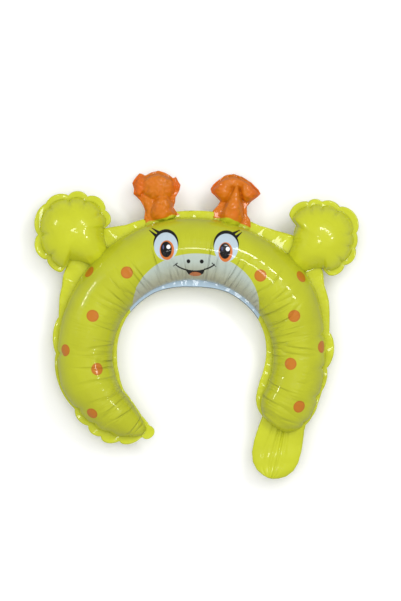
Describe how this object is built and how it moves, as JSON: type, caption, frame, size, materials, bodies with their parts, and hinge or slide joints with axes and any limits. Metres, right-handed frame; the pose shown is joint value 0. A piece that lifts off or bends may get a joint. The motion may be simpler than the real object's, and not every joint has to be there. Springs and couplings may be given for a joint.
{
  "type": "foil balloon headband",
  "caption": "Giraffe foil balloon shaped as an open hoop that goes round a child's head, with round ears, short horns and a flat filler tail.",
  "frame": {"origin": "under the middle of the bounding box, at the underside that lies on the table", "axes": "+Z out of the face, +Y to the top of the giraffe's head, +X to the right as seen from the front"},
  "size_m": [0.349, 0.3294, 0.0656],
  "materials": {
    "printed_film": "glossy printed film, yellow-green with orange spots and horns, a pale muzzle and black print"
  },
  "bodies": {
    "root": {"balloon": "printed_film"}
  },
  "joints": []
}
